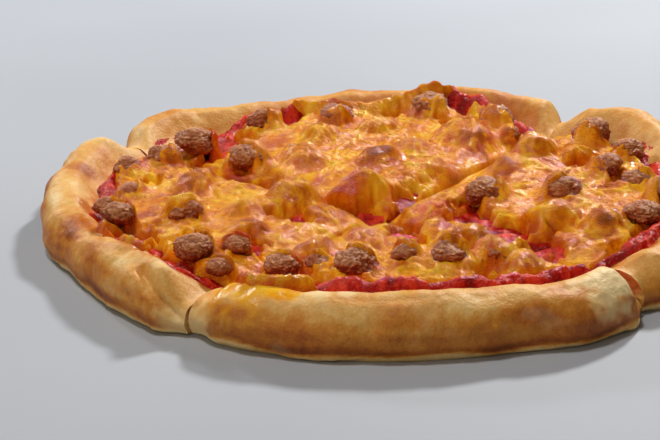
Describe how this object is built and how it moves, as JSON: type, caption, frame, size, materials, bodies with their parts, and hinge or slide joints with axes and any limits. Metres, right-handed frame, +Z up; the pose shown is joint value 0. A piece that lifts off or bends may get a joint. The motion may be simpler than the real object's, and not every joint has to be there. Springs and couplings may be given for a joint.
{
  "type": "sausage pizza, cut in four slices",
  "caption": "Small round cheese and sausage pizza with a puffy golden rim, cut crosswise into slices that keep its round shape.",
  "frame": {"origin": "on the flat underside, at the middle of the round pizza, where the base mount is", "axes": "+Z up through the pizza, +Y from the front slice's rim towards the back slice, +X to the right as seen from the front"},
  "size_m": [0.2306, 0.2322, 0.0228],
  "materials": {
    "crust": "baked, dry, uneven gold to brown",
    "sauce": "moist and pulpy",
    "cheese": "melted, oily",
    "sausage": "browned, rough, slightly oily"
  },
  "bodies": {
    "root": {"dough_left": "crust", "dough_front": "crust", "dough_right": "crust", "dough_back": "crust", "sauce_left": "sauce", "sauce_front": "sauce", "sauce_right": "sauce", "sauce_back": "sauce", "cheese_left": "cheese", "cheese_front": "cheese", "cheese_right": "cheese", "cheese_back": "cheese", "crumb_left_1": "sausage", "crumb_left_2": "sausage", "crumb_left_3": "sausage", "crumb_left_4": "sausage", "crumb_left_5": "sausage", "crumb_left_6": "sausage", "crumb_left_7": "sausage", "crumb_left_8": "sausage", "crumb_left_9": "sausage", "crumb_front_1": "sausage", "crumb_front_2": "sausage", "crumb_front_3": "sausage", "crumb_front_4": "sausage", "crumb_front_5": "sausage", "crumb_front_6": "sausage", "crumb_right_1": "sausage", "crumb_right_2": "sausage", "crumb_right_3": "sausage", "crumb_right_4": "sausage", "crumb_right_5": "sausage", "crumb_right_6": "sausage", "crumb_right_7": "sausage", "crumb_right_8": "sausage", "crumb_right_9": "sausage", "crumb_back_1": "sausage", "crumb_back_2": "sausage", "crumb_back_3": "sausage", "crumb_back_4": "sausage", "crumb_back_5": "sausage", "crumb_back_6": "sausage", "crumb_back_7": "sausage"}
  },
  "joints": []
}
